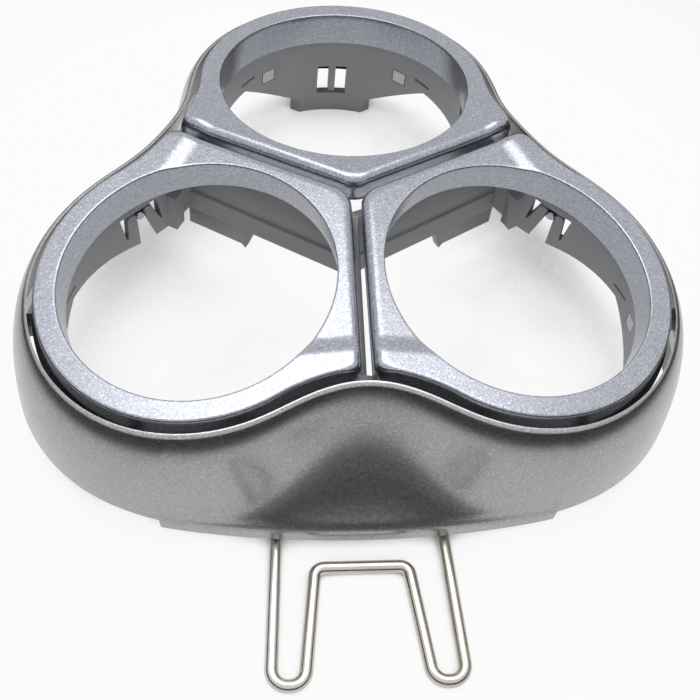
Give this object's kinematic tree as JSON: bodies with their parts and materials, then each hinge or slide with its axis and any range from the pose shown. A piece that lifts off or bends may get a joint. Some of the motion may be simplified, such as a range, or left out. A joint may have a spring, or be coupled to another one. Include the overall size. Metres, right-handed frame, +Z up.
{
  "type": "shaver head holder",
  "caption": "Trefoil holder for round shaving heads: painted skirt, grey inner frame, rocking ring frames and a bent wire bail.",
  "frame": {"origin": "on the plane that the holder stands on, midway between the three heads", "axes": "+Z up through the heads, +Y to the rear head, the bail lies forward along -Y"},
  "size_m": [0.0642, 0.0751, 0.0185],
  "materials": {
    "shell_paint": "silver metallic paint, satin",
    "ring_paint": "silver metallic paint, satin",
    "grey_plastic": "bare moulded grey plastic",
    "spring_wire": "bright drawn spring wire"
  },
  "bodies": {
    "holder": {"outer_shell": "shell_paint", "inner_frame": "grey_plastic"},
    "rear_ring_frame": {"rear_ring": "ring_paint"},
    "left_ring_frame": {"left_ring": "ring_paint"},
    "right_ring_frame": {"right_ring": "ring_paint"},
    "bail": {"wire_bail": "spring_wire"}
  },
  "joints": [
    {"name": "rear_ring_rock", "type": "hinge", "parent": "holder", "child": "rear_ring_frame", "pos_m": [0, 0.01589, 0.01078], "axis": [-1, 0, 0], "range_deg": [-1.5, 1.5]},
    {"name": "left_ring_rock", "type": "hinge", "parent": "holder", "child": "left_ring_frame", "pos_m": [-0.01376, -0.00794, 0.01078], "axis": [0.5, -0.866, 0], "range_deg": [-1.5, 1.5]},
    {"name": "right_ring_rock", "type": "hinge", "parent": "holder", "child": "right_ring_frame", "pos_m": [0.01376, -0.00794, 0.01078], "axis": [0.5, 0.866, 0], "range_deg": [-1.5, 1.5]},
    {"name": "bail_swing", "type": "hinge", "parent": "holder", "child": "bail", "pos_m": [0, -0.0232, 0.0027], "axis": [1, 0, 0], "range_deg": [0, 100]}
  ]
}
